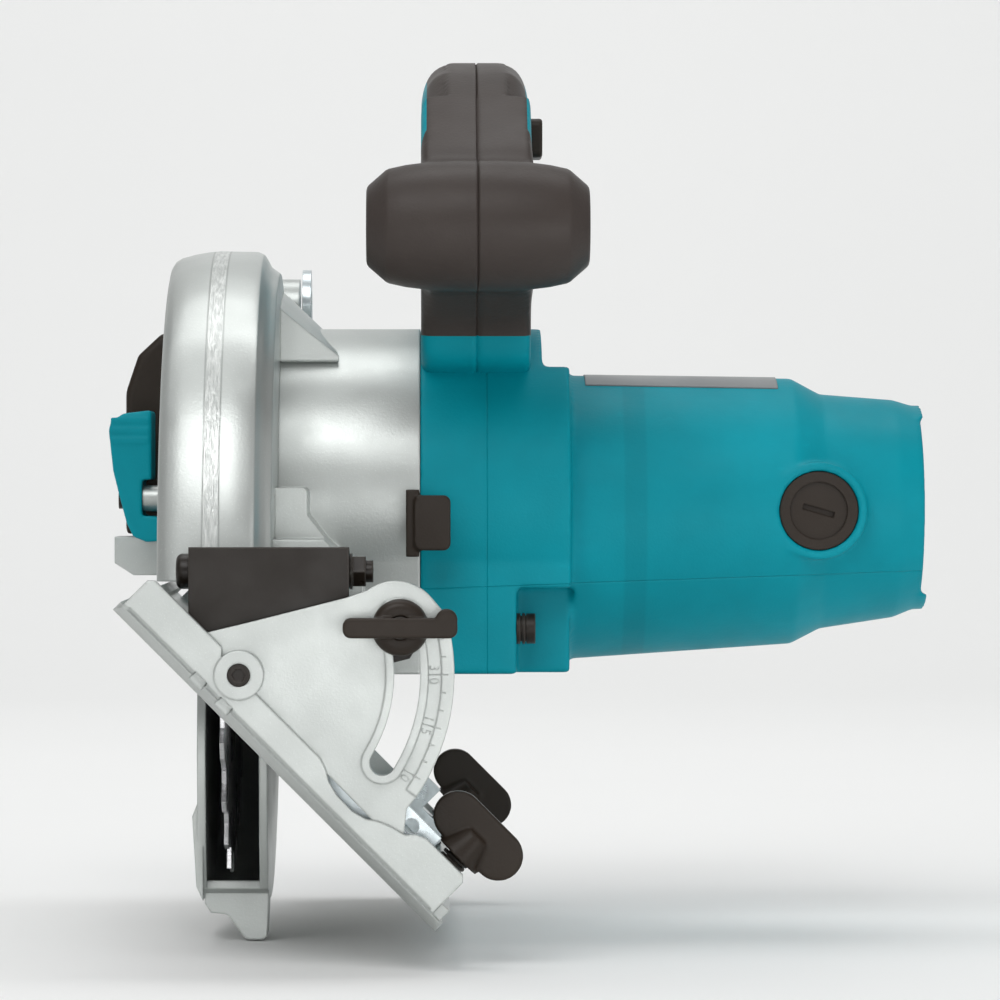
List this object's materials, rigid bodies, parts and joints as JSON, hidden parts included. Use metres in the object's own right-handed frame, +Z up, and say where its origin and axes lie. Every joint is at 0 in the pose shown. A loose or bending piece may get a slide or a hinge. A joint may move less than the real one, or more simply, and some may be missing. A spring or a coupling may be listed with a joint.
{
  "type": "circular saw",
  "caption": "Hand-held circular saw with a hinged base at its 45 degree bevel stop, swinging blade guard, D handle with front barrel grip and a dust nozzle.",
  "frame": {"origin": "middle of the underside of the whole saw's box, with the base tilted 45 degrees and the blade at full depth", "axes": "+X along the spindle from the blade to the motor's end, +Y to the rear of the saw, +Z up"},
  "size_m": [0.242, 0.2764, 0.2537],
  "materials": {
    "cast_aluminium": "silver painted casting",
    "machined_steel": "machined",
    "blade_steel": "ground, radial",
    "black_steel": "blackened",
    "zinc_steel": "zinc plated",
    "teal_plastic": "moulded, fine texture",
    "soft_grip": "moulded soft grip",
    "black_plastic": "moulded",
    "label_grey": "printed foil",
    "electrical_steel": "laminated",
    "copper_wire": "varnished winding",
    "carbon": "matt"
  },
  "bodies": {
    "saw_body": {"baffle_plate": "black_plastic", "bearing_box": "machined_steel", "blade_case": "cast_aluminium", "brush_caps": "black_plastic", "brush_holders": "black_plastic", "carbon_brushes": "carbon", "case_screws": "black_steel", "cord_gland": "black_plastic", "depth_bolt": "black_steel", "depth_washer": "zinc_steel", "dust_nozzle": "black_plastic", "field_coils": "copper_wire", "gear_housing": "cast_aluminium", "grip_left": "soft_grip", "grip_right": "soft_grip", "guard_spring": "machined_steel", "guard_stop": "soft_grip", "handle_left": "teal_plastic", "handle_right": "teal_plastic", "handle_screws": "black_steel", "housing_screws": "black_steel", "label_plate": "label_grey", "motor_housing": "teal_plastic", "retaining_ring": "black_steel", "shaft_bearings": "machined_steel", "stator_core": "electrical_steel", "switch_body": "black_plastic"},
    "blade_spindle": {"spindle": "machined_steel", "helical_gear": "machined_steel", "saw_blade": "blade_steel", "inner_flange": "machined_steel", "outer_flange": "machined_steel", "blade_bolt": "black_steel"},
    "armature_rotor": {"armature": "machined_steel", "armature_windings": "copper_wire", "commutator": "copper_wire", "cooling_fan": "black_plastic"},
    "guard": {"lower_guard": "cast_aluminium", "guard_lever": "teal_plastic", "guard_lever_screw": "black_steel"},
    "carrier": {"front_bracket": "black_steel", "pivot_bolt": "black_steel", "pivot_nut": "black_steel", "front_hinge_pin": "black_steel", "rear_hinge_pin": "black_steel", "depth_guide": "zinc_steel", "bevel_bolt": "black_steel", "bevel_washer": "black_steel"},
    "bevel_handle": {"bevel_lever": "black_plastic"},
    "depth_handle": {"depth_lever": "black_plastic"},
    "base": {"base_plate": "cast_aluminium", "fence_guides": "zinc_steel", "fence_springs": "black_steel"},
    "front_knob": {"fence_knob_front": "black_plastic"},
    "rear_knob": {"fence_knob_rear": "black_plastic"},
    "trigger": {"trigger": "black_plastic"},
    "lock_off": {"lock_off_button": "black_plastic"},
    "shaft_lock": {"shaft_lock": "black_plastic"}
  },
  "joints": [
    {"name": "blade_spin", "type": "hinge", "parent": "saw_body", "child": "blade_spindle", "pos_m": [-0.081, -0.0088, 0.0999], "axis": [1, 0, 0], "continuous": true},
    {"name": "armature_spin", "type": "hinge", "parent": "saw_body", "child": "armature_rotor", "pos_m": [-0.021, 0.0112, 0.1224], "axis": [1, 0, 0], "continuous": true},
    {"name": "guard_swing", "type": "hinge", "parent": "saw_body", "child": "guard", "pos_m": [-0.071, -0.0088, 0.0999], "axis": [1, 0, 0], "range_deg": [0, 88], "stiffness_Nm_per_rad": 0.25, "springref_deg": -68.75},
    {"name": "depth_swing", "type": "hinge", "parent": "saw_body", "child": "carrier", "pos_m": [-0.067, -0.1113, 0.1066], "axis": [1, 0, 0], "range_deg": [-26, 0]},
    {"name": "bevel_tilt", "type": "hinge", "parent": "carrier", "child": "base", "pos_m": [-0.0744, -0.0088, 0.0793], "axis": [0, 1, 0], "range_deg": [-45, 0]},
    {"name": "bevel_lever_turn", "type": "hinge", "parent": "carrier", "child": "bevel_handle", "pos_m": [-0.03145, -0.1318, 0.09202], "axis": [0, 1, 0], "range_deg": [-60, 0]},
    {"name": "depth_lever_turn", "type": "hinge", "parent": "saw_body", "child": "depth_handle", "pos_m": [-0.055, 0.08202, 0.09816], "axis": [1, 0, 0], "range_deg": [0, 50]},
    {"name": "front_knob_turn", "type": "hinge", "parent": "base", "child": "front_knob", "pos_m": [-0.01338, -0.1088, 0.03242], "axis": [0.7071, 0, 0.7071], "continuous": true},
    {"name": "rear_knob_turn", "type": "hinge", "parent": "base", "child": "rear_knob", "pos_m": [-0.01338, 0.1022, 0.03242], "axis": [0.7071, 0, 0.7071], "continuous": true},
    {"name": "trigger_pull", "type": "slide", "parent": "saw_body", "child": "trigger", "axis": [0, 0, 1], "range_m": [0, 0.005], "stiffness_N_per_m": 400, "springref_m": -0.004},
    {"name": "lock_off_press", "type": "slide", "parent": "saw_body", "child": "lock_off", "axis": [-1, 0, 0], "range_m": [0, 0.002], "stiffness_N_per_m": 500, "springref_m": -0.002},
    {"name": "shaft_lock_press", "type": "slide", "parent": "saw_body", "child": "shaft_lock", "axis": [0, 1, 0], "range_m": [0, 0.003], "stiffness_N_per_m": 600, "springref_m": -0.002}
  ],
  "couplings": [
    {"joint": "armature_spin", "follows": "blade_spin", "ratio": -5}
  ]
}
